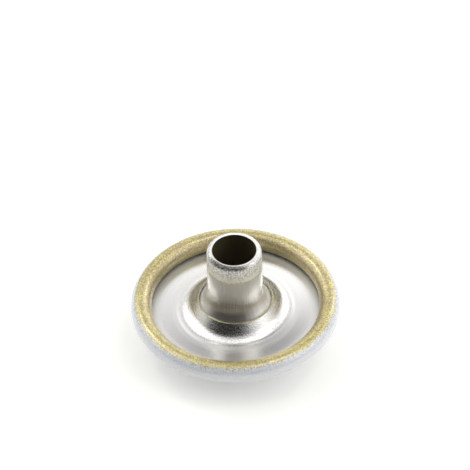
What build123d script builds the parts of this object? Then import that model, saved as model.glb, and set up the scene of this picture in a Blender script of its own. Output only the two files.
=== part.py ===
from build123d import *
import os
from math import acos, asin, atan2, degrees, radians, sin, sqrt, tan

# Snap fastener cap, lying on its domed head with the barrel up.
# Three pressed pieces, all turned about Z: a domed shell whose rim is rolled over
# the edge of a backing plate, and a drawn barrel whose flange is held under the plate.
# Millimetres. The origin is the middle of the dome's crown, where the head touches the table.

os.makedirs("parts", exist_ok=True)

# Shell: head size, the small flat on the crown that it lies on, sheet and rolled rim
head_radius = 7.6
crown_flat_depth = 0.08
rim_roll_radius = 0.75
rim_roll_height = 2.6
shell_sheet = 0.25
rim_bite_gap = 0.01
roll_inside_flats = 8

# Backing plate: sheet, how far its margin lies below the middle of the rolled rim, how much
# of the margin shows inside the rim's cut edge, and how far the face rises from it to the pad
plate_sheet = 0.22
plate_face_drop = 0.50
plate_face_rise = 0.12
plate_seat_gap = 0.01
margin_shown = 0.12

# Backing plate: the raised pad and the collar round the barrel
pad_flat = 0.06
pad_rise = 0.04
pad_ramp = 0.25
pad_blend = 0.40
collar_rise = 1.12
collar_slope = 52.0
collar_fillet = 1.10
hole_radius = 2.62
lip_width = 0.12
lip_round = 0.06

# Barrel: tube, nose and open end
barrel_radius = 2.0
barrel_sheet = 0.42
barrel_above_collar = 4.70
nose_length = 1.50
nose_taper = 0.045
mouth_round = 0.24

# Barrel: the flare at its foot and the flange under the plate
flare_radius = 1.75
foot_fillet = 1.30
nest_gap = 0.02
flange_seat_gap = 0.01

# Levels and circles worked out from the sizes above
rim_circle_radius = head_radius - rim_roll_radius
plate_face = rim_roll_height - plate_face_drop
plate_under = plate_face - plate_sheet
inner_face = plate_face + plate_face_rise
inner_under = inner_face - plate_sheet
pad_face = inner_face + pad_rise
pad_under = pad_face - plate_sheet
lip_face = plate_face + collar_rise
lip_edge_radius = hole_radius + lip_width
barrel_top = lip_face + barrel_above_collar
bore_radius = barrel_radius - barrel_sheet
flange_under = plate_under - barrel_sheet
slope = radians(collar_slope)

# The dome is a sphere that runs tangent into the rolled rim. Its pole would lie below the
# table by the depth that the crown's flat takes off it.
roll_above_pole = rim_roll_height + crown_flat_depth
dome_radius = (rim_circle_radius**2 + roll_above_pole**2 - rim_roll_radius**2) / (
    2 * (roll_above_pole - rim_roll_radius)
)
dome_centre_height = dome_radius - crown_flat_depth
dome_end = degrees(atan2(rim_roll_height - dome_centre_height, rim_circle_radius))

# The rim is rolled round until its cut edge meets the face of the plate.
rim_roll_end = 180 + degrees(asin((plate_face_drop - rim_bite_gap) / rim_roll_radius))


def dome_inner_radius(height):
    """Radius at which the inside of the dome reaches a height."""
    return sqrt((dome_radius - shell_sheet) ** 2 - (dome_centre_height - height) ** 2)


def crown_angle(sheet=0.0):
    """Angle from the pole to the edge of the crown's flat, outside or a sheet's thickness inside."""
    return degrees(acos((dome_centre_height - sheet) / (dome_radius - sheet)))


def cone_radius(height, sheet=0.0):
    """Radius of the collar's cone at a height, or of the cone a sheet's thickness inside it."""
    return lip_edge_radius + (lip_face - height) / tan(slope) - sheet / sin(slope)


def cone_height(radius, sheet=0.0):
    """Height of the same cone at a radius."""
    return lip_face - (radius - lip_edge_radius + sheet / sin(slope)) * tan(slope)


def dome_arc(sheet=0.0):
    """Section of the dome from the crown's flat to the roll, outside or inside the sheet."""
    start = crown_angle(sheet) - 90
    return CenterArc((0, dome_centre_height), dome_radius - sheet, start, dome_end - start)


# Shell: a thin dome that turns up into the rolled rim. The inside of the roll, which nothing
# shows, is a run of short flats.
with BuildPart() as cap_shell:
    with BuildSketch(Plane.XZ):
        with BuildLine():
            roll_centre = (rim_circle_radius, rim_roll_height)
            roll_turn = rim_roll_end - dome_end
            dome_out = dome_arc()
            dome_in = dome_arc(shell_sheet)
            roll_out = CenterArc(roll_centre, rim_roll_radius, dome_end, roll_turn)
            roll_guide = CenterArc(
                roll_centre, rim_roll_radius - shell_sheet, dome_end, roll_turn, mode=Mode.PRIVATE
            )
            roll_in = [roll_guide @ (i / roll_inside_flats) for i in range(roll_inside_flats + 1)]
            Polyline(*roll_in, roll_out @ 1)
            Polyline(dome_out @ 0, (0, 0), (0, shell_sheet), dome_in @ 0)
        make_face()
    revolve(axis=Axis.Z)

cap_shell.part.label = "cap_shell"
export_step(cap_shell.part, "parts/cap_shell.step")

# Backing plate: a slightly raised disc with a low pad and a collar, its edge seated on the
# inside of the dome and its flat margin held by the rim's cut edge
plate_edge_radius = dome_inner_radius(plate_under) - plate_seat_gap
margin_radius = rim_circle_radius - sqrt(rim_roll_radius**2 - plate_face_drop**2) - margin_shown
pad_radius = cone_radius(pad_face) + collar_fillet * tan(slope / 2) + pad_flat
pad_foot_radius = pad_radius + pad_ramp
collar_fillet_under = collar_fillet + plate_sheet

with BuildPart() as backing_plate:
    with BuildSketch(Plane.XZ):
        with BuildLine():
            FilletPolyline(
                (hole_radius, lip_face),
                (lip_edge_radius, lip_face),
                (cone_radius(pad_face), pad_face),
                (pad_radius, pad_face),
                (pad_foot_radius, inner_face),
                (margin_radius, plate_face),
                (plate_edge_radius, plate_face),
                (plate_edge_radius, plate_under),
                (margin_radius, plate_under),
                (pad_foot_radius, inner_under),
                (pad_radius, pad_under),
                (cone_radius(pad_under, plate_sheet), pad_under),
                (hole_radius, cone_height(hole_radius, plate_sheet)),
                radius=[0, lip_round, collar_fillet, pad_blend, pad_blend, 0, 0]
                + [0, 0, 0, 0, collar_fillet_under, 0],
                close=True,
            )
        make_face()
    revolve(axis=Axis.Z)

backing_plate.part.label = "backing_plate"
export_step(backing_plate.part, "parts/backing_plate.step")

# Barrel: a drawn tube, open at the top, whose foot flares out under the collar
# and ends in a flange that lies under the plate and is seated on the inside of the dome
flange_radius = dome_inner_radius(flange_under) - flange_seat_gap
nose_start = barrel_top - nose_length
foot_outside = plate_sheet + nest_gap
foot_inside = foot_outside + barrel_sheet

with BuildPart() as barrel:
    with BuildSketch(Plane.XZ):
        with BuildLine():
            FilletPolyline(
                (bore_radius, barrel_top),
                (barrel_radius - nose_taper, barrel_top),
                (barrel_radius, nose_start),
                (barrel_radius, cone_height(barrel_radius, foot_outside)),
                (cone_radius(plate_under, foot_outside), plate_under),
                (flange_radius, plate_under),
                (flange_radius, flange_under),
                (cone_radius(flange_under, foot_inside), flange_under),
                (bore_radius, cone_height(bore_radius, foot_inside)),
                radius=[0, mouth_round, 0, flare_radius, foot_fillet, 0]
                + [0, foot_fillet + barrel_sheet, flare_radius + barrel_sheet],
                close=True,
            )
        make_face()
    revolve(axis=Axis.Z)

barrel.part.label = "barrel"
export_step(barrel.part, "parts/barrel.step")
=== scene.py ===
"""Snap fastener cap lying on its domed head, on a white studio floor.

The cap is three turned pieces: an enamelled shell with a bare rolled brass rim, a
nickel backing plate with a raised collar, and a drawn nickel barrel. Each is turned
from its own section, takes the place of its plain CAD node and rides the only body.
Sizes are in millimetres and become metres where a mesh, lamp or camera is made.
"""

import logging
from dataclasses import dataclass, field
from enum import Enum
from math import acos, asin, atan2, cos, degrees, pi, radians, sin, sqrt, tan, tau
from typing import Sequence

import bpy
from bpy.types import Material, Node, NodeSocket, NodeTree, Object
from mathutils import Matrix, Vector


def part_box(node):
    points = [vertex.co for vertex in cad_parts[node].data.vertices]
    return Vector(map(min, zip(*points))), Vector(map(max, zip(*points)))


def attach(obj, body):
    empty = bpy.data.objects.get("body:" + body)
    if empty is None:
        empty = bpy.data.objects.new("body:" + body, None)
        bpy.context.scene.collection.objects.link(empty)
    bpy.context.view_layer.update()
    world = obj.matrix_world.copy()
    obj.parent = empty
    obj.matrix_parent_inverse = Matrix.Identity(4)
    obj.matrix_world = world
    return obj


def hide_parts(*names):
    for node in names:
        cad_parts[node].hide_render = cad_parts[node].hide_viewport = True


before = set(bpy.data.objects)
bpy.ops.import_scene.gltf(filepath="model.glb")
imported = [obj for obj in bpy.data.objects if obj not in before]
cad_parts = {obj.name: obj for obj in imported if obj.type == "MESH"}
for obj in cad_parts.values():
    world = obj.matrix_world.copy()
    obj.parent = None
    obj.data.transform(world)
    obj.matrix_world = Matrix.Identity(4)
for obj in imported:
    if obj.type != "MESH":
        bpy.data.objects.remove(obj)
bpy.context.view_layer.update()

MM = 0.001
BODY = "root"
IMAGE_WIDTH_PX = 470
SENSOR_WIDTH_MM = 36.0
CLIP_RANGE_M = (0.01, 10.0)
SMOOTH_ANGLE = 28.0

log = logging.getLogger("snap_cap")

Point = tuple[float, float]
Pair = tuple[float, float]
Colour = tuple[float, float, float]


# Turned sections


@dataclass(frozen=True)
class Corner:
    """A corner of a section, in millimetres, with the radius of the round that it gets."""

    r: float
    z: float
    round: float = 0.0


def arc(centre: Point, radius: float, start: float, end: float, steps: int) -> list[Point]:
    """Points along an arc of a section.

    Args:
        centre: Radius and height of the arc's centre.
        radius: Radius of the arc.
        start: Angle of the first point in degrees, from the outward direction towards +Z.
        end: Angle of the last point in degrees.
        steps: Number of chords.

    Returns:
        The points, both ends included.
    """
    angles = [radians(start + (end - start) * i / steps) for i in range(steps + 1)]
    return [(centre[0] + radius * cos(a), centre[1] + radius * sin(a)) for a in angles]


def rounded(corners: Sequence[Corner], step: float = 5.0) -> list[Point]:
    """A closed section with its corners rounded.

    Args:
        corners: The corners in order round the section.
        step: Largest turn of one chord of a round, in degrees.

    Returns:
        The points of the section, the first one repeated at the end.
    """
    points: list[Point] = []
    count = len(corners)
    for i, corner in enumerate(corners):
        here = Vector((corner.r, corner.z))
        back = (Vector((corners[i - 1].r, corners[i - 1].z)) - here).normalized()
        on = (Vector((corners[(i + 1) % count].r, corners[(i + 1) % count].z)) - here).normalized()
        if not corner.round:
            points.append((here.x, here.y))
            continue
        inside = back.angle(on)
        centre = here + (back + on).normalized() * corner.round / sin(inside / 2)
        first = here + back * corner.round / tan(inside / 2) - centre
        last = here + on * corner.round / tan(inside / 2) - centre
        start = degrees(atan2(first.y, first.x))
        turn = (degrees(atan2(last.y, last.x)) - start + 180) % 360 - 180
        steps = max(2, int(abs(turn) / step) + 1)
        points += arc((centre.x, centre.y), corner.round, start, start + turn, steps)
    return points + points[:1]


def turned_piece(name: str, section: Sequence[Point], steps: int = 256) -> Object:
    """Turns a section about Z into a smooth closed mesh.

    Args:
        name: Name of the new piece.
        section: Radius and height of each point, in millimetres. It is closed on itself
            or begins and ends on the axis.
        steps: Number of steps round the axis.

    Returns:
        The piece, with its place in its mesh.
    """
    merge_distance = 1e-6
    bpy.ops.object.select_all(action="DESELECT")
    bpy.ops.mesh.primitive_plane_add(size=MM)
    piece = bpy.context.object
    piece.name = name
    piece.data.name = name
    bpy.ops.object.mode_set(mode="EDIT")
    bpy.ops.mesh.select_all(action="SELECT")
    bpy.ops.mesh.merge(type="CENTER")
    bpy.ops.transform.translate(value=(section[0][0] * MM, 0, section[0][1] * MM))
    for (r0, z0), (r1, z1) in zip(section, section[1:]):
        move = ((r1 - r0) * MM, 0, (z1 - z0) * MM)
        bpy.ops.mesh.extrude_vertices_move(TRANSFORM_OT_translate={"value": move})
    bpy.ops.mesh.select_all(action="SELECT")
    bpy.ops.mesh.remove_doubles(threshold=merge_distance)
    bpy.ops.mesh.select_all(action="SELECT")
    bpy.ops.mesh.spin(steps=steps, angle=tau, center=(0, 0, 0), axis=(0, 0, 1))
    bpy.ops.mesh.select_all(action="SELECT")
    bpy.ops.mesh.remove_doubles(threshold=merge_distance)
    bpy.ops.mesh.select_all(action="SELECT")
    bpy.ops.mesh.normals_make_consistent(inside=False)
    bpy.ops.object.mode_set(mode="OBJECT")
    bpy.ops.object.shade_smooth_by_angle(angle=radians(SMOOTH_ANGLE))
    return piece


# Shader nodes


@dataclass(frozen=True)
class Ramp:
    """A smooth step of a value: where it begins and ends, and its result at each end."""

    begin: float
    end: float
    first: float = 0.0
    last: float = 1.0


class Graph:
    """A short way to place and join shader nodes in one tree.

    The Mix node has sockets for every kind of value. The two class values give the places of
    the first input, the second input and the output for colours and for plain numbers.
    """

    MIX_COLOUR = (6, 7, 2)
    MIX_NUMBER = (2, 3, 0)

    def __init__(self, tree: NodeTree) -> None:
        """Starts on a tree and clears it."""
        self.tree = tree
        tree.nodes.clear()

    def add(self, kind: str, **settings: object) -> Node:
        """Adds a node.

        Args:
            kind: Blender's name for the node type.
            **settings: Properties of the node, such as its operation.

        Returns:
            The new node.
        """
        node = self.tree.nodes.new(kind)
        for key, value in settings.items():
            setattr(node, key, value)
        return node

    def feed(self, socket: NodeSocket, value: object) -> None:
        """Joins a socket to another one, or sets its constant."""
        if isinstance(value, NodeSocket):
            self.tree.links.new(value, socket)
        else:
            socket.default_value = value

    def maths(self, operation: str, *values: object) -> NodeSocket:
        """A Math node on one to three values."""
        node = self.add("ShaderNodeMath", operation=operation)
        for socket, value in zip(node.inputs, values):
            self.feed(socket, value)
        return node.outputs[0]

    def times(self, first: object, second: object) -> NodeSocket:
        """The product of two values."""
        return self.maths("MULTIPLY", first, second)

    def linear(self, value: object, slope: object, offset: object) -> NodeSocket:
        """A value times a slope, plus an offset."""
        return self.maths("MULTIPLY_ADD", value, slope, offset)

    def inverse(self, mask: object) -> NodeSocket:
        """1 where a mask is 0, and 0 where it is 1."""
        return self.maths("SUBTRACT", 1.0, mask)

    def step(
        self, value: object, low: object, high: object, start: float = 0.0, end: float = 1.0
    ) -> NodeSocket:
        """A smooth step of a value.

        Args:
            value: The value that is stepped.
            low: Where the step begins.
            high: Where the step ends.
            start: Result below the step.
            end: Result above the step.

        Returns:
            The stepped value.
        """
        node = self.add("ShaderNodeMapRange", interpolation_type="SMOOTHSTEP")
        names = ("Value", "From Min", "From Max", "To Min", "To Max")
        for name, given in zip(names, (value, low, high, start, end)):
            self.feed(node.inputs[name], given)
        return node.outputs[0]

    def ramp(self, value: object, ramp: Ramp, origin: float = 0.0) -> NodeSocket:
        """A smooth step of a value, with its ends measured from an origin."""
        return self.step(value, origin + ramp.begin, origin + ramp.end, ramp.first, ramp.last)

    def mixed(self, mask: object, first: object, second: object) -> NodeSocket:
        """The first colour where the mask is 0 and the second where it is 1."""
        node = self.add("ShaderNodeMix", data_type="RGBA")
        one, other, result = self.MIX_COLOUR
        self.feed(node.inputs[0], mask)
        self.feed(node.inputs[one], first if isinstance(first, NodeSocket) else (*first, 1.0))
        self.feed(node.inputs[other], second if isinstance(second, NodeSocket) else (*second, 1.0))
        return node.outputs[result]

    def blended(self, mask: object, first: object, second: object) -> NodeSocket:
        """The first value where the mask is 0 and the second where it is 1."""
        node = self.add("ShaderNodeMix", data_type="FLOAT")
        one, other, result = self.MIX_NUMBER
        self.feed(node.inputs[0], mask)
        self.feed(node.inputs[one], first)
        self.feed(node.inputs[other], second)
        return node.outputs[result]

    def noise(
        self, place: NodeSocket, scale: object, detail: float, roughness: float
    ) -> NodeSocket:
        """Noise over a place, from 0 to 1."""
        node = self.add("ShaderNodeTexNoise")
        self.feed(node.inputs["Vector"], place)
        self.feed(node.inputs["Scale"], scale)
        self.feed(node.inputs["Detail"], detail)
        self.feed(node.inputs["Roughness"], roughness)
        return node.outputs["Fac"]

    def vector(self, x: object, y: object, z: object) -> NodeSocket:
        """A vector from three values."""
        node = self.add("ShaderNodeCombineXYZ")
        for socket, value in zip(node.inputs, (x, y, z)):
            self.feed(socket, value)
        return node.outputs[0]

    def placed(self, group: NodeTree, **values: object) -> Node:
        """Places a node group with its own values."""
        node = self.add("ShaderNodeGroup", node_tree=group)
        for key, value in values.items():
            self.feed(node.inputs[key.replace("_", " ").capitalize()], value)
        return node


def new_group(
    name: str, inputs: dict[str, float], outputs: Sequence[str]
) -> tuple[NodeTree, Graph, Node, Node]:
    """Makes an empty shader node group.

    Args:
        name: Name of the group.
        inputs: Names and first values of its number sockets. "Place" is a vector.
        outputs: Names of its number outputs.

    Returns:
        The group, its graph, its input node and its output node.
    """
    group = bpy.data.node_groups.new(name, "ShaderNodeTree")
    graph = Graph(group)
    for key, value in inputs.items():
        kind = "NodeSocketVector" if key == "Place" else "NodeSocketFloat"
        socket = group.interface.new_socket(key, in_out="INPUT", socket_type=kind)
        if key != "Place":
            socket.default_value = value
    for key in outputs:
        group.interface.new_socket(key, in_out="OUTPUT", socket_type="NodeSocketFloat")
    return group, graph, graph.add("NodeGroupInput"), graph.add("NodeGroupOutput")


class SharedEffects:
    """The node groups that more than one finish uses."""

    def __init__(self) -> None:
        """Builds each group once."""
        self.turned_place = self._turned_place()
        self.streaks = self._streaks()
        self.grain = self._grain()

    def _turned_place(self) -> NodeTree:
        """Radius and height in millimetres and the angle round Z, from object coordinates."""
        outputs = ("Radius", "Height", "Angle")
        group, graph, source, result = new_group("Turned place", {"Place": 0.0}, outputs)
        parts = graph.add("ShaderNodeSeparateXYZ")
        graph.feed(parts.inputs[0], source.outputs["Place"])
        x, y, z = parts.outputs
        squares = graph.maths("ADD", graph.times(x, x), graph.times(y, y))
        graph.feed(result.inputs["Radius"], graph.maths("DIVIDE", graph.maths("SQRT", squares), MM))
        graph.feed(result.inputs["Height"], graph.maths("DIVIDE", z, MM))
        graph.feed(result.inputs["Angle"], graph.maths("ARCTAN2", y, x))
        return group

    def _streaks(self) -> NodeTree:
        """Streaks from 0 to 1, fine across them and long along them."""
        inputs = {"Across": 0.0, "Along": 0.0, "Fine": 20.0, "Long": 1.0}
        group, graph, source, result = new_group("Streaks", inputs, ("Streaks",))
        across = graph.times(source.outputs["Across"], source.outputs["Fine"])
        along = graph.times(source.outputs["Along"], source.outputs["Long"])
        place = graph.vector(across, graph.maths("COSINE", along), graph.maths("SINE", along))
        streaks = graph.noise(place, scale=1.0, detail=3.0, roughness=0.6)
        graph.feed(result.inputs["Streaks"], streaks)
        return group

    def _grain(self) -> NodeTree:
        """Grain between two levels of a fine noise, from 0 to 1. Size is in millimetres."""
        inputs = {"Place": 0.0, "Size": 0.1, "Low": 0.4, "High": 0.6}
        group, graph, source, result = new_group("Grain", inputs, ("Grain",))
        scale = graph.maths("DIVIDE", 1 / MM, source.outputs["Size"])
        noise = graph.noise(source.outputs["Place"], scale, detail=2.0, roughness=0.6)
        stepped = graph.step(noise, source.outputs["Low"], source.outputs["High"])
        graph.feed(result.inputs["Grain"], stepped)
        return group


class Finish:
    """A new material with its place sockets and its Principled shader."""

    def __init__(self, name: str, effects: SharedEffects, **constants: object) -> None:
        """Makes the material.

        Args:
            name: Name of the material.
            effects: The shared node groups.
            **constants: Values of the shader's own sockets that are the same all over.
        """
        self.effects = effects
        self.material: Material = bpy.data.materials.new(name)
        self.material.use_nodes = True
        self.graph = Graph(self.material.node_tree)
        self.shader = self.graph.add("ShaderNodeBsdfPrincipled")
        output = self.graph.add("ShaderNodeOutputMaterial")
        self.graph.feed(output.inputs["Surface"], self.shader.outputs[0])
        self.place: NodeSocket = self.graph.add("ShaderNodeTexCoord").outputs["Object"]
        turned = self.graph.placed(effects.turned_place, place=self.place)
        self.radius, self.height, self.angle = turned.outputs
        for key, value in constants.items():
            self.shader.inputs[key.replace("_", " ")].default_value = value

    def set(self, **values: object) -> None:
        """Feeds sockets of the shader with what changes over the surface."""
        for key, value in values.items():
            self.graph.feed(self.shader.inputs[key.replace("_", " ")], value)

    def grain(self, size: float, levels: Pair) -> NodeSocket:
        """Grain of one size in millimetres, stepped between two levels."""
        low, high = levels
        group = self.effects.grain
        node = self.graph.placed(group, place=self.place, size=size, low=low, high=high)
        return node.outputs["Grain"]

    def streaks(
        self, across: NodeSocket, along: NodeSocket, fine: float, long: float
    ) -> NodeSocket:
        """Streaks across one place value and along another."""
        group = self.effects.streaks
        node = self.graph.placed(group, across=across, along=along, fine=fine, long=long)
        return node.outputs["Streaks"]

    def facing(self, azimuth: float) -> NodeSocket:
        """Cosine of the angle round the axis from an azimuth, which is in degrees."""
        return self.graph.maths(
            "COSINE", self.graph.maths("SUBTRACT", self.angle, radians(azimuth))
        )

    def bump(self, height: NodeSocket, depth: float) -> None:
        """Raises the surface a little.

        Args:
            height: The pattern, from 0 to 1.
            depth: Its full height in millimetres.
        """
        node = self.graph.add("ShaderNodeBump")
        node.inputs["Distance"].default_value = depth * MM
        self.graph.feed(node.inputs["Height"], height)
        self.graph.feed(self.shader.inputs["Normal"], node.outputs[0])


# The pieces


class Slot(Enum):
    """Material slots of the record."""

    SHELL = "shell_enamel"
    PLATE = "plate_nickel"
    BARREL = "barrel_nickel"


def dress(piece: Object, material: Material, node: str) -> Object:
    """Gives a piece its material and puts it in the place of its CAD node.

    Args:
        piece: The finished mesh.
        material: Its material.
        node: The CAD node that it stands for.

    Returns:
        The same piece.
    """
    piece.data.materials.clear()
    piece.data.materials.append(material)
    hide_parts(node)
    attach(piece, BODY)
    log.info("%s: %d vertices, stands for %s", piece.name, len(piece.data.vertices), node)
    return piece


@dataclass(frozen=True)
class ShellFinish:
    """Pale enamel outside and speckled, lacquered brass on the rolled rim, with painted shade on
    the brass inside the roll and at its seat, and painted light on the enamel low down.

    Colours are linear and sizes are in millimetres. Heights are measured from the middle of
    the roll, radii from the circle along it and noise scales per millimetre.
    """

    enamel: Colour = (0.92, 0.945, 0.985)
    # Painted light: colour of the enamel's whiter low band
    enamel_painted_light: Colour = (0.99, 0.99, 0.99)
    enamel_dust: Colour = (0.35, 0.38, 0.40)
    brass: Colour = (0.77, 0.67, 0.25)
    brass_rosy: Colour = (0.60, 0.475, 0.26)
    # The next colour is the brass's dark speckle and also its painted shade inside the roll
    brass_speckle_and_shade: Colour = (0.20, 0.175, 0.07)
    # Painted shade: colour of the dark line where the cut edge comes down to the plate
    seat_shade_colour: Colour = (0.045, 0.034, 0.016)

    # Ragged line where the enamel ends on the outside of the roll
    edge_angle: float = 54.0
    edge_lean: float = 0.10
    edge_ragged: float = 1.3
    edge_soft: float = 0.10
    nick_scale: float = 11.0
    wave_scale: float = 1.4
    wave_share: float = 0.15
    bare_height: Ramp = Ramp(-0.8, -0.7)

    # Brass: speckle, rosy patches that thicken towards the inside, painted shade inside the roll,
    # and a painted dark line of shade at the seat
    grain_levels: Pair = (0.40, 0.60)
    speckle_size: float = 0.10
    speckle_dark: float = 0.38
    fleck_size: float = 0.14
    fleck_share: float = 0.4
    patch_scale: float = 1.6
    patch_share: float = 1.1
    rosy_inside: Ramp = Ramp(-0.15, -0.6, 0.0, 0.35)
    rosy_levels: Ramp = Ramp(0.55, 1.05)
    shade_height: Ramp = Ramp(0.74, -0.20)
    shade_radius: Ramp = Ramp(0.0, -0.45)
    shade_depth: float = 0.8
    seat_height: Ramp = Ramp(0.24, 0.08)
    seat_radius: Ramp = Ramp(0.0, -0.1)

    # Enamel: whiter low down as painted light, with specks that thin out away from the brass
    painted_light_height: Ramp = Ramp(0.50, -0.05)
    dust_reach: Ramp = Ramp(-0.8, 0.0, 0.04, 0.5)

    # Surface
    brass_metallic: float = 0.85
    enamel_roughness: float = 0.2
    brass_roughness: Pair = (0.46, 0.34)
    lacquer: float = 0.7
    speckle_depth: float = 0.006

    def build(self, effects: SharedEffects, shell: "CapShell") -> Material:
        """Makes the material.

        Args:
            effects: The shared node groups.
            shell: The shell, which gives the place of the roll.

        Returns:
            The material, with the line between enamel and brass placed on the rim.
        """
        finish = Finish("enamel_and_brass", effects, IOR=1.9, Coat_Roughness=0.15, Coat_IOR=1.8)
        graph = finish.graph
        line = self._edge_line(finish, shell)
        above = graph.ramp(finish.height, self.bare_height, shell.roll_height)
        bare = graph.times(graph.step(line, -self.edge_soft, self.edge_soft), above)
        speckle = finish.grain(self.speckle_size, self.grain_levels)
        # Painted shade: the inner side of the roll darkens towards the plate and loses its lacquer
        # there
        painted_shade = graph.times(
            graph.ramp(finish.height, self.shade_height, shell.roll_height),
            graph.ramp(finish.radius, self.shade_radius, shell.circle_radius),
        )
        brass = self._brass(finish, shell, speckle, painted_shade)
        skin = self._skin(finish, shell, speckle, line)
        rough_brass = graph.blended(speckle, *self.brass_roughness)
        finish.set(
            Base_Color=graph.mixed(bare, skin, brass),
            Metallic=graph.times(bare, self.brass_metallic),
            Roughness=graph.blended(bare, self.enamel_roughness, rough_brass),
            Coat_Weight=graph.times(bare, graph.linear(painted_shade, -self.lacquer, self.lacquer)),
        )
        finish.bump(graph.times(speckle, bare), self.speckle_depth)
        return finish.material

    def _edge_line(self, finish: Finish, shell: "CapShell") -> NodeSocket:
        """Above 0 on the brass and below 0 on the enamel, in radii of the roll."""
        graph = finish.graph
        out = graph.maths("SUBTRACT", finish.radius, shell.circle_radius)
        up = graph.maths("SUBTRACT", finish.height, shell.roll_height)
        edge = radians(self.edge_angle)
        across = graph.maths("SUBTRACT", graph.times(up, cos(edge)), graph.times(out, sin(edge)))
        turn = graph.maths("DIVIDE", across, shell.roll_radius)
        front = graph.times(graph.maths("SINE", finish.angle), self.edge_lean)
        nicks = graph.noise(finish.place, self.nick_scale / MM, detail=1.0, roughness=0.5)
        waves = graph.noise(finish.place, self.wave_scale / MM, detail=2.0, roughness=0.6)
        noise_mean = 0.5
        middle = noise_mean * (1 + self.wave_share)
        ragged = graph.maths("SUBTRACT", graph.linear(waves, self.wave_share, nicks), middle)
        return graph.linear(ragged, self.edge_ragged, graph.maths("ADD", turn, front))

    def _brass(
        self, finish: Finish, shell: "CapShell", speckle: NodeSocket, painted_shade: NodeSocket
    ) -> NodeSocket:
        """Colour of the brass."""
        graph = finish.graph
        patch = graph.noise(finish.place, self.patch_scale / MM, detail=3.0, roughness=0.6)
        flecks = finish.grain(self.fleck_size, self.grain_levels)
        flecks = graph.linear(flecks, self.fleck_share, graph.times(patch, self.patch_share))
        inner = graph.ramp(finish.radius, self.rosy_inside, shell.circle_radius)
        rosy = graph.ramp(graph.maths("ADD", flecks, inner), self.rosy_levels)
        brass = graph.mixed(rosy, self.brass, self.brass_rosy)
        pale = graph.linear(speckle, 1 - self.speckle_dark, self.speckle_dark)
        # Painted shade darkens the brass on the inner side of the roll
        pale = graph.times(pale, graph.linear(painted_shade, -self.shade_depth, 1.0))
        brass = graph.mixed(pale, self.brass_speckle_and_shade, brass)
        # Painted shade: a dark line along the seat of the cut edge on the plate
        seat_shade = graph.times(
            graph.ramp(finish.height, self.seat_height, shell.roll_height - shell.bite_drop),
            graph.ramp(finish.radius, self.seat_radius, shell.circle_radius),
        )
        return graph.mixed(seat_shade, brass, self.seat_shade_colour)

    def _skin(
        self, finish: Finish, shell: "CapShell", speckle: NodeSocket, line: NodeSocket
    ) -> NodeSocket:
        """Colour of the enamel."""
        graph = finish.graph
        # Painted light: the enamel is whiter low on the roll
        low = graph.ramp(finish.height, self.painted_light_height, shell.roll_height)
        skin = graph.mixed(low, self.enamel, self.enamel_painted_light)
        dust = graph.times(speckle, graph.ramp(line, self.dust_reach))
        return graph.mixed(dust, skin, self.enamel_dust)


@dataclass(frozen=True)
class NickelFinish:
    """Bright nickel with fine turned marks, duller at the rim, and a raw edge at the lip.

    Colours are linear. Radii are measured from the axis and heights from the lip's face, in
    millimetres.
    """

    nickel: Colour = (0.86, 0.85, 0.83)
    lip_tint: Colour = (0.42, 0.40, 0.27)
    lip_height: Ramp = Ramp(-0.05, -0.02)

    # Turned marks all over, and grain that fades from the collar to the face
    ring_fine: float = 14.0
    ring_long: float = 1.0
    ring_rough: float = 0.08
    ring_bump: float = 0.15
    grain_size: float = 0.09
    grain_levels: Pair = (0.35, 0.65)
    grain_radius: Ramp = Ramp(4.4, 3.5, 0.06, 1.0)
    grain_rough: float = 0.12
    bump_depth: float = 0.005

    # Roughness of the face, and what the pad's edge and the margin add to it
    face_rough: Ramp = Ramp(3.6, 4.4, 0.13, 0.18)
    pad_edge_inside: Ramp = Ramp(3.8, 4.15)
    pad_edge_outside: Ramp = Ramp(4.9, 4.4)
    pad_edge_rough: float = 0.07
    margin_radius: Ramp = Ramp(5.2, 6.0)
    margin_rough: float = 0.16
    margin_pale: float = 0.30

    def build(self, effects: SharedEffects, plate: "BackingPlate") -> Material:
        """Makes the material.

        Args:
            effects: The shared node groups.
            plate: The plate, which gives the height of its lip.

        Returns:
            The material.
        """
        finish = Finish("plate_nickel", effects)
        graph = finish.graph
        rings = finish.streaks(finish.radius, finish.angle, self.ring_fine, self.ring_long)
        grain = finish.grain(self.grain_size, self.grain_levels)
        coarse = graph.times(grain, graph.ramp(finish.radius, self.grain_radius))
        lip = graph.ramp(finish.height, self.lip_height, plate.lip_face)
        margin = graph.ramp(finish.radius, self.margin_radius)
        pad_edge = graph.times(
            graph.ramp(finish.radius, self.pad_edge_inside),
            graph.ramp(finish.radius, self.pad_edge_outside),
        )
        rough = graph.ramp(finish.radius, self.face_rough)
        rough = graph.linear(margin, self.margin_rough, rough)
        rough = graph.linear(pad_edge, self.pad_edge_rough, rough)
        rough = graph.linear(coarse, self.grain_rough, rough)
        finish.set(
            Base_Color=graph.mixed(lip, self.nickel, self.lip_tint),
            Metallic=graph.linear(margin, -self.margin_pale, 1.0),
            Roughness=graph.linear(rings, self.ring_rough, rough),
        )
        finish.bump(graph.linear(rings, self.ring_bump, coarse), self.bump_depth)
        return finish.material


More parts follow.
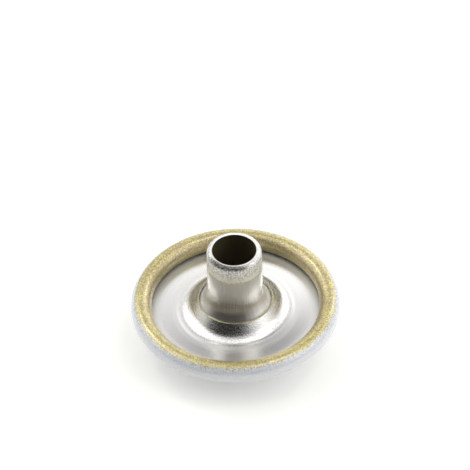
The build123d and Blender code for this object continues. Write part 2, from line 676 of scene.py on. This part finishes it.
@dataclass(frozen=True)
class BarrelFinish:
    """Drawn nickel: a polished mouth over a satin nose, draw marks down the tube, a dull bore.

    At the front, dark reflection is painted into the colour: a dark speckled crescent on the
    shoulder under the mouth, and a dark brown foot. Colours are linear, lengths are in millimetres
    and azimuths in degrees.
    """

    nickel: Colour = (0.95, 0.935, 0.90)
    edge: Colour = (0.98, 0.97, 0.95)
    satin: Colour = (0.99, 0.98, 0.94)
    # The next colour is the nose's dark grain and also the painted dark reflection in the crescent
    satin_grain_and_reflection: Colour = (0.52, 0.51, 0.46)
    olive: Colour = (0.92, 0.90, 0.73)
    marked: Colour = (0.82, 0.80, 0.75)
    # Painted reflection: dark brown on the front of the foot
    painted_foot_reflection: Colour = (0.38, 0.35, 0.32)
    # Painted reflection: colour of the dark crescent on the front of the shoulder
    shoulder: Colour = (0.07, 0.066, 0.06)
    bore: Colour = (0.16, 0.13, 0.07)

    # Draw marks, and the foot zone, by height over the lip; the foot's front gets painted dark
    # reflection, by azimuth
    mark_fine: float = 18.0
    mark_long: float = 0.35
    mark_levels: Ramp = Ramp(0.30, 0.70)
    mark_reach: float = 0.5
    foot_zone_height: Ramp = Ramp(2.1, 0.7)
    dark_reflection_azimuth: float = -101.0
    dark_reflection_spread: Ramp = Ramp(0.45, 0.94)

    # Satin nose: its wavy foot, its grain, and how far down the olive tint begins
    grain_size: float = 0.11
    grain_levels: Pair = (0.38, 0.62)
    foot_scale: float = 1.2
    foot_wave: float = 0.3
    foot_drop: float = 0.15
    foot_soft: float = 0.30
    olive_share: float = 0.45

    # Mouth: heights from the top, radii from the bore
    polished_height: Ramp = Ramp(-0.006, -0.001)
    bore_wall: Ramp = Ramp(0.03, 0.01)
    outer_wall: Ramp = Ramp(0.07, 0.11)
    # Painted dark reflection: a speckled crescent on the front of the shoulder under the mouth
    shade_azimuth: float = -110.0
    crescent_spread: Ramp = Ramp(0.50, 0.92)
    crescent_height: Ramp = Ramp(-0.34, -0.12)
    crescent_speckle: float = 0.45
    shoulder_drop: float = 0.10
    shoulder_share: float = 0.9

    # Roughness of each part, and what marks, grain and wear add to it
    tube_rough: float = 0.14
    mark_rough: float = 0.10
    foot_zone_rough: float = 0.16
    nose_rough: float = 0.30
    grain_rough: float = 0.15
    shoulder_smooth: float = 0.18
    crescent_rough: float = 0.45
    polished_rough: float = 0.10
    bore_rough: float = 0.4
    tube_metallic: float = 0.52
    foot_metallic: float = 0.72
    bore_metallic: float = 0.5
    bump_depth: float = 0.004

    def build(self, effects: SharedEffects, barrel: "Barrel") -> Material:
        """Makes the material.

        Args:
            effects: The shared node groups.
            barrel: The barrel, which gives the place of its mouth, nose and foot.

        Returns:
            The material.
        """
        finish = Finish("barrel_nickel", effects)
        graph = finish.graph
        grain = finish.grain(self.grain_size, self.grain_levels)
        marks = finish.streaks(finish.angle, finish.height, self.mark_fine, self.mark_long)
        marks = graph.ramp(marks, self.mark_levels)
        # The foot zone is rougher and more metallic all round; its front also gets painted dark
        # reflection in the tube's colour
        foot_zone = graph.ramp(
            graph.linear(marks, self.mark_reach, finish.height),
            self.foot_zone_height,
            barrel.plate.lip_face,
        )
        # Painted dark reflection on the front of the shoulder under the mouth
        painted_crescent = graph.times(
            graph.ramp(finish.facing(self.shade_azimuth), self.crescent_spread),
            graph.ramp(finish.height, self.crescent_height, barrel.top),
        )
        outer = graph.ramp(finish.radius, self.outer_wall, barrel.bore_radius)
        polished = graph.times(
            graph.ramp(finish.height, self.polished_height, barrel.top),
            graph.inverse(graph.times(painted_crescent, outer)),
        )
        satin = graph.times(self._nose(finish, barrel), graph.inverse(polished))
        inside = graph.ramp(finish.radius, self.bore_wall, barrel.bore_radius)

        tube = self._tube_colour(finish, marks, foot_zone)
        nose = self._nose_colour(finish, barrel, grain, painted_crescent)
        skin = graph.mixed(polished, graph.mixed(satin, tube, nose), self.edge)
        drawn = graph.linear(foot_zone, self.foot_zone_rough, self.tube_rough)
        drawn = graph.linear(marks, self.mark_rough, drawn)
        frost = self._nose_roughness(finish, barrel, grain, painted_crescent)
        rough = graph.blended(polished, graph.blended(satin, drawn, frost), self.polished_rough)
        metal = graph.blended(foot_zone, self.tube_metallic, self.foot_metallic)
        finish.set(
            Base_Color=graph.mixed(inside, skin, self.bore),
            Metallic=graph.blended(inside, metal, self.bore_metallic),
            Roughness=graph.blended(inside, rough, self.bore_rough),
        )
        finish.bump(graph.blended(satin, marks, grain), self.bump_depth)
        return finish.material

    def _nose(self, finish: Finish, barrel: "Barrel") -> NodeSocket:
        """1 on the satin nose, down to its wavy foot."""
        graph = finish.graph
        wave = graph.noise(finish.place, self.foot_scale / MM, detail=2.0, roughness=0.5)
        foot = graph.linear(wave, self.foot_wave, barrel.top - barrel.nose_length - self.foot_drop)
        return graph.step(finish.height, foot, graph.maths("ADD", foot, self.foot_soft))

    def _tube_colour(self, finish: Finish, marks: NodeSocket, foot_zone: NodeSocket) -> NodeSocket:
        """Colour of the tube and its foot, with painted dark reflection on the front of the foot.
        """
        graph = finish.graph
        # Painted reflection: the front of the foot darkens towards the camera side
        painted_foot_reflection = graph.times(foot_zone, graph.ramp(finish.facing(self.dark_reflection_azimuth), self.dark_reflection_spread))
        tube = graph.mixed(marks, self.nickel, self.marked)
        return graph.mixed(painted_foot_reflection, tube, self.painted_foot_reflection)

    def _nose_colour(
        self, finish: Finish, barrel: "Barrel", grain: NodeSocket, painted_crescent: NodeSocket
    ) -> NodeSocket:
        """Colour of the satin nose, with the painted dark reflection of the crescent under its
        mouth and its olive foot.
        """
        graph = finish.graph
        bright = graph.linear(painted_crescent, -self.crescent_speckle, grain)
        nose = graph.mixed(bright, self.satin_grain_and_reflection, self.satin)
        # Painted reflection: the crescent goes near black, speckled by the grain
        dark = graph.times(painted_crescent, graph.linear(grain, -self.crescent_speckle, 1.0))
        nose = graph.mixed(dark, nose, self.shoulder)
        olive_start = barrel.top - barrel.nose_length * self.olive_share
        low = graph.step(finish.height, olive_start, barrel.top - barrel.nose_length)
        return graph.mixed(low, nose, self.olive)

    def _nose_roughness(
        self, finish: Finish, barrel: "Barrel", grain: NodeSocket, painted_crescent: NodeSocket
    ) -> NodeSocket:
        """Roughness of the satin nose, which is smoother on its shoulder."""
        graph = finish.graph
        shoulder = graph.step(
            finish.height,
            barrel.top - barrel.mouth_round - self.shoulder_drop,
            barrel.top - barrel.mouth_round * self.shoulder_share,
        )
        frost = graph.linear(shoulder, -self.shoulder_smooth, self.nose_rough)
        frost = graph.linear(grain, self.grain_rough, frost)
        return graph.linear(painted_crescent, self.crescent_rough, frost)


@dataclass
class CapShell:
    """The domed shell, whose rim is rolled over the edge of the backing plate.

    The roll's cut edge ends bite_drop below the middle of the roll, just over the plate.
    """

    head_radius: float
    roll_radius: float = 0.75
    roll_height: float = 2.6
    crown_flat_depth: float = 0.08
    sheet: float = 0.25
    bite_drop: float = 0.49
    dome_steps: int = 36
    roll_steps_outside: int = 60
    roll_steps_inside: int = 20
    finish: ShellFinish = field(default_factory=ShellFinish)

    @property
    def circle_radius(self) -> float:
        """Radius of the circle that runs along the middle of the roll."""
        return self.head_radius - self.roll_radius

    @property
    def dome_radius(self) -> float:
        """Radius of the sphere that runs tangent into the roll."""
        rise = self.roll_height + self.crown_flat_depth
        squares = self.circle_radius**2 + rise**2 - self.roll_radius**2
        return squares / (2 * (rise - self.roll_radius))

    @property
    def dome_centre(self) -> float:
        """Height of the middle of the dome's sphere."""
        return self.dome_radius - self.crown_flat_depth

    def inner_radius(self, height: float) -> float:
        """Radius at which the inside of the dome reaches a height."""
        return sqrt((self.dome_radius - self.sheet) ** 2 - (self.dome_centre - height) ** 2)

    def section(self) -> list[Point]:
        """Outside from the crown to the roll's cut edge, and back along the inside."""
        dome_end = degrees(atan2(self.roll_height - self.dome_centre, self.circle_radius))
        roll_end = 180 + degrees(asin(self.bite_drop / self.roll_radius))
        middle = (self.circle_radius, self.roll_height)
        walls = ((0.0, self.roll_steps_outside), (self.sheet, self.roll_steps_inside))
        sides = []
        for inset, roll_steps in walls:
            radius = self.dome_radius - inset
            crown = degrees(acos((self.dome_centre - inset) / radius))
            dome = arc((0, self.dome_centre), radius, crown - 90, dome_end, self.dome_steps)
            roll = arc(middle, self.roll_radius - inset, dome_end, roll_end, roll_steps)
            sides.append([(0, inset)] + dome + roll[1:])
        return sides[0] + sides[1][::-1]

    def build(self, effects: SharedEffects) -> Object:
        """Turns the shell and dresses it."""
        piece = turned_piece("domed_shell", self.section())
        return dress(piece, self.finish.build(effects, self), "cap_shell")


@dataclass
class BackingPlate:
    """The plate inside the shell, with a collar round the barrel.

    Its face rises from a flat margin under the rolled rim to a low pad round the collar.
    """

    shell: CapShell
    sheet: float = 0.22
    face_drop: float = 0.50
    face_rise: float = 0.12
    seat_gap: float = 0.01
    margin_shown: float = 0.12
    pad_flat: float = 0.06
    pad_rise: float = 0.04
    pad_ramp: float = 0.25
    pad_blend: float = 0.40
    collar_rise: float = 1.12
    collar_slope: float = 52.0
    collar_fillet: float = 1.10
    hole_radius: float = 2.62
    lip_width: float = 0.12
    lip_round: float = 0.06
    finish: NickelFinish = field(default_factory=NickelFinish)

    @property
    def face(self) -> float:
        """Height of the margin's face."""
        return self.shell.roll_height - self.face_drop

    @property
    def under(self) -> float:
        """Height of the margin's underside."""
        return self.face - self.sheet

    @property
    def lip_face(self) -> float:
        """Height of the collar's lip."""
        return self.face + self.collar_rise

    def cone_radius(self, height: float, inset: float = 0.0) -> float:
        """Radius of the collar's cone at a height, or of the cone a sheet inside it."""
        slope = radians(self.collar_slope)
        edge = self.hole_radius + self.lip_width
        return edge + (self.lip_face - height) / tan(slope) - inset / sin(slope)

    def cone_height(self, radius: float, inset: float = 0.0) -> float:
        """Height of the same cone at a radius."""
        slope = radians(self.collar_slope)
        edge = self.hole_radius + self.lip_width
        return self.lip_face - (radius - edge + inset / sin(slope)) * tan(slope)

    def section(self) -> list[Point]:
        """The pressed sheet, from the lip over the collar and the pad to the edge and back."""
        inner_face = self.face + self.face_rise
        pad = inner_face + self.pad_rise
        pad_under = pad - self.sheet
        edge = self.shell.inner_radius(self.under) - self.seat_gap
        bite = self.shell.circle_radius - sqrt(self.shell.roll_radius**2 - self.face_drop**2)
        margin = bite - self.margin_shown
        half_slope = radians(self.collar_slope) / 2
        fillet_foot = self.cone_radius(pad) + self.collar_fillet * tan(half_slope)
        pad_edge = fillet_foot + self.pad_flat
        foot = pad_edge + self.pad_ramp
        fillet_under = self.collar_fillet + self.sheet
        return rounded(
            [
                Corner(self.hole_radius, self.lip_face),
                Corner(self.hole_radius + self.lip_width, self.lip_face, self.lip_round),
                Corner(self.cone_radius(pad), pad, self.collar_fillet),
                Corner(pad_edge, pad, self.pad_blend),
                Corner(foot, inner_face, self.pad_blend),
                Corner(margin, self.face),
                Corner(edge, self.face),
                Corner(edge, self.under),
                Corner(margin, self.under),
                Corner(foot, inner_face - self.sheet),
                Corner(pad_edge, pad_under),
                Corner(self.cone_radius(pad_under, self.sheet), pad_under, fillet_under),
                Corner(self.hole_radius, self.cone_height(self.hole_radius, self.sheet)),
            ]
        )

    def build(self, effects: SharedEffects) -> Object:
        """Turns the plate and dresses it."""
        piece = turned_piece("collared_plate", self.section())
        return dress(piece, self.finish.build(effects, self), "backing_plate")


@dataclass
class Barrel:
    """The drawn tube, open at the top, with a flared foot and a flange under the plate."""

    plate: BackingPlate
    top: float
    radius: float = 2.0
    sheet: float = 0.42
    nose_length: float = 1.50
    nose_taper: float = 0.045
    mouth_round: float = 0.24
    flare_radius: float = 1.75
    foot_fillet: float = 1.30
    nest_gap: float = 0.02
    seat_gap: float = 0.01
    finish: BarrelFinish = field(default_factory=BarrelFinish)

    @property
    def bore_radius(self) -> float:
        """Radius of the bore."""
        return self.radius - self.sheet

    def section(self) -> list[Point]:
        """The drawn wall, from the mouth down the outside to the flange and back up the bore."""
        plate = self.plate
        outside = plate.sheet + self.nest_gap
        inside = outside + self.sheet
        flange_under = plate.under - self.sheet
        edge = plate.shell.inner_radius(flange_under) - self.seat_gap
        foot_under = self.foot_fillet + self.sheet
        flare_under = self.flare_radius + self.sheet
        return rounded(
            [
                Corner(self.bore_radius, self.top),
                Corner(self.radius - self.nose_taper, self.top, self.mouth_round),
                Corner(self.radius, self.top - self.nose_length),
                Corner(self.radius, plate.cone_height(self.radius, outside), self.flare_radius),
                Corner(plate.cone_radius(plate.under, outside), plate.under, self.foot_fillet),
                Corner(edge, plate.under),
                Corner(edge, flange_under),
                Corner(plate.cone_radius(flange_under, inside), flange_under, foot_under),
                Corner(self.bore_radius, plate.cone_height(self.bore_radius, inside), flare_under),
            ]
        )

    def build(self, effects: SharedEffects) -> Object:
        """Turns the barrel and dresses it."""
        piece = turned_piece("drawn_barrel", self.section())
        return dress(piece, self.finish.build(effects, self), "barrel")


# The studio


@dataclass(frozen=True)
class Softbox:
    """A square lamp that faces the cap. Angles are in degrees and lengths in millimetres."""

    name: str
    azimuth: float
    elevation: float
    radiance: float
    size: float = 240.0
    distance: float = 600.0

    def build(self) -> Object:
        """Makes the lamp, aimed at the cap from its distance."""
        turn, rise = radians(self.azimuth), radians(self.elevation)
        towards = Vector((cos(turn) * cos(rise), sin(turn) * cos(rise), sin(rise)))
        angles = towards.to_track_quat("Z", "Y").to_euler()
        place = towards * self.distance * MM
        bpy.ops.object.light_add(type="AREA", location=place, rotation=angles)
        lamp = bpy.context.object
        lamp.name = self.name
        lamp.data.shape = "SQUARE"
        lamp.data.size = self.size * MM
        lamp.data.energy = self.radiance * pi * (self.size * MM) ** 2
        return lamp


@dataclass(frozen=True)
class SkyPatch:
    """A round patch of the light tent with a soft edge. Angles are in degrees.

    Its radiance is full up to the inner angle from its middle and gone at the outer one.
    """

    azimuth: float
    elevation: float
    radiance: float
    outer: float
    inner: float

    def over(self, graph: Graph, ray: NodeSocket, light: object) -> NodeSocket:
        """Lays the patch over the light that the tent has so far.

        Args:
            graph: The world's graph.
            ray: Direction that is looked in.
            light: The radiance of the tent without the patch.

        Returns:
            The radiance with the patch.
        """
        turn, rise = radians(self.azimuth), radians(self.elevation)
        dot = graph.add("ShaderNodeVectorMath", operation="DOT_PRODUCT")
        graph.feed(dot.inputs[0], ray)
        dot.inputs[1].default_value = (cos(turn) * cos(rise), sin(turn) * cos(rise), sin(rise))
        mask = graph.step(dot.outputs["Value"], cos(radians(self.outer)), cos(radians(self.inner)))
        return graph.blended(mask, light, self.radiance)


@dataclass
class Studio:
    """White floor, light tent, softboxes and camera.

    Lengths are in millimetres, angles in degrees and light levels are radiances. Each sky
    patch lies over the ones before it.
    """

    floor_size: float = 4000.0
    floor_colour: Colour = (0.88, 0.88, 0.88)
    floor_seen: Colour = (0.88, 0.88, 0.84)
    floor_lift: float = 0.30
    tent_light: float = 0.80
    backdrop_light: float = 1.0
    sky: tuple[SkyPatch, ...] = (
        SkyPatch(62.0, 26.0, 1.9, 42.0, 20.0),
        SkyPatch(90.0, 90.0, 1.1, 34.0, 16.0),
        SkyPatch(346.0, 48.0, 0.85, 50.0, 34.0),
        SkyPatch(351.0, 39.0, 2.4, 25.0, 13.0),
        SkyPatch(155.0, 46.0, 2.0, 36.0, 18.0),
        SkyPatch(80.0, 60.0, 0.25, 20.0, 9.0),
        SkyPatch(248.0, 10.0, 0.02, 62.0, 45.0),
    )
    softboxes: tuple[Softbox, ...] = (
        Softbox("softbox_overhead", 20.0, 74.0, 2.4, 200.0),
        Softbox("softbox_right", 48.0, 34.0, 4.2, 110.0),
        Softbox("softbox_left", 134.0, 48.0, 5.0, 110.0),
    )
    camera_distance: float = 184.0
    camera_elevation: float = 43.23
    camera_roll: float = -1.57
    camera_focal_ratio: float = 13.749
    aim_height: float = 2.225
    aim_right: float = 0.092
    aim_up: float = 5.223

    def build_floor(self) -> Object:
        """The white floor that keeps the cap's shadow.

        Returns:
            The floor plane.
        """
        bpy.ops.object.select_all(action="DESELECT")
        bpy.ops.mesh.primitive_plane_add(size=self.floor_size * MM)
        floor = bpy.context.object
        floor.name = "floor"
        material = bpy.data.materials.new("floor_white")
        material.use_nodes = True
        graph = Graph(material.node_tree)
        paint = graph.add("ShaderNodeBsdfDiffuse")
        glow = graph.add("ShaderNodeEmission")
        path = graph.add("ShaderNodeLightPath")
        camera_ray = path.outputs["Is Camera Ray"]
        colour = graph.mixed(camera_ray, self.floor_colour, self.floor_seen)
        graph.feed(paint.inputs["Color"], colour)
        seen = graph.maths("MAXIMUM", camera_ray, path.outputs["Is Glossy Ray"])
        seen = graph.maths("MAXIMUM", seen, path.outputs["Is Transmission Ray"])
        graph.feed(glow.inputs["Strength"], graph.maths("MULTIPLY", seen, self.floor_lift))
        both = graph.add("ShaderNodeAddShader")
        graph.feed(both.inputs[0], paint.outputs[0])
        graph.feed(both.inputs[1], glow.outputs[0])
        graph.feed(graph.add("ShaderNodeOutputMaterial").inputs["Surface"], both.outputs[0])
        floor.data.materials.append(material)
        return floor

    def build_tent(self) -> None:
        """The world: white for the camera, and for the cap a tent of soft patches."""
        world = bpy.data.worlds.new("light_tent")
        bpy.context.scene.world = world
        world.use_nodes = True
        graph = Graph(world.node_tree)
        ray = graph.add("ShaderNodeTexCoord").outputs["Generated"]
        light: object = self.tent_light
        for patch in self.sky:
            light = patch.over(graph, ray, light)
        path = graph.add("ShaderNodeLightPath")
        strength = graph.blended(path.outputs["Is Camera Ray"], light, self.backdrop_light)
        background = graph.add("ShaderNodeBackground")
        graph.feed(background.inputs["Strength"], strength)
        graph.feed(graph.add("ShaderNodeOutputWorld").inputs["Surface"], background.outputs[0])

    def build_camera(self) -> Object:
        """The camera, at the photo's angle and distance.

        Returns:
            The camera.
        """
        tilt, roll = radians(self.camera_elevation), radians(self.camera_roll)
        forward = Vector((0, cos(tilt), -sin(tilt)))
        level = Vector((1, 0, 0))
        upright = Vector((0, sin(tilt), cos(tilt)))
        right = level * cos(roll) + upright * sin(roll)
        up = upright * cos(roll) - level * sin(roll)
        place = Vector((0, 0, self.aim_height)) + level * self.aim_right + upright * self.aim_up
        place -= forward * self.camera_distance
        turn = Matrix((right, up, -forward)).transposed().to_4x4()
        bpy.ops.object.camera_add()
        camera = bpy.context.object
        camera.name = "camera"
        camera.matrix_world = Matrix.Translation(place * MM) @ turn
        camera.data.sensor_width = SENSOR_WIDTH_MM
        focal_px = self.camera_focal_ratio * self.camera_distance
        camera.data.lens = focal_px * SENSOR_WIDTH_MM / IMAGE_WIDTH_PX
        camera.data.clip_start, camera.data.clip_end = CLIP_RANGE_M
        return camera

    def build(self) -> None:
        """Builds the floor, the light and the camera."""
        self.build_floor()
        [softbox.build() for softbox in self.softboxes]
        self.build_tent()
        bpy.context.scene.camera = self.build_camera()
        bpy.context.scene.view_settings.view_transform = "Standard"


def main() -> None:
    """Builds the cap and the studio."""
    logging.basicConfig(level=logging.INFO, format="%(name)s %(message)s")
    effects = SharedEffects()
    shell = CapShell(head_radius=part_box("cap_shell")[1].x / MM)
    plate = BackingPlate(shell)
    barrel = Barrel(plate, top=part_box("barrel")[1].z / MM)
    for part in (shell, plate, barrel):
        part.build(effects)
    Studio().build()


if __name__ == "__main__":
    main()
